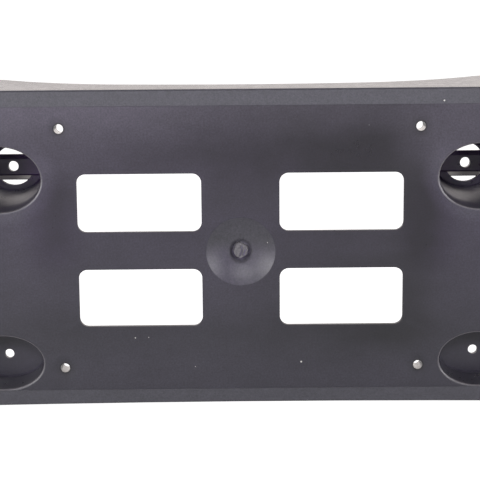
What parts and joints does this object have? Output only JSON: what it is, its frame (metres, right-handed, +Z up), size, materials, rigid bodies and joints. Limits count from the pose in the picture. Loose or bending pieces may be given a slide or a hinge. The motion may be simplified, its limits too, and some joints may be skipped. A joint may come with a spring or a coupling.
{
  "type": "number plate holder",
  "caption": "Black moulded car number plate holder with a grained border, windows, plate screw holes and deep screw cups that fix it to a bumper.",
  "frame": {"origin": "centre of the four plate screw holes, on the front of the panel", "axes": "+X to the right seen from the front, +Y from the face to the back, +Z up"},
  "size_m": [0.316, 0.0599, 0.1627],
  "materials": {
    "body": "satin moulded plastic with a fine-grained border"
  },
  "bodies": {
    "root": {"holder": "body"}
  },
  "joints": []
}
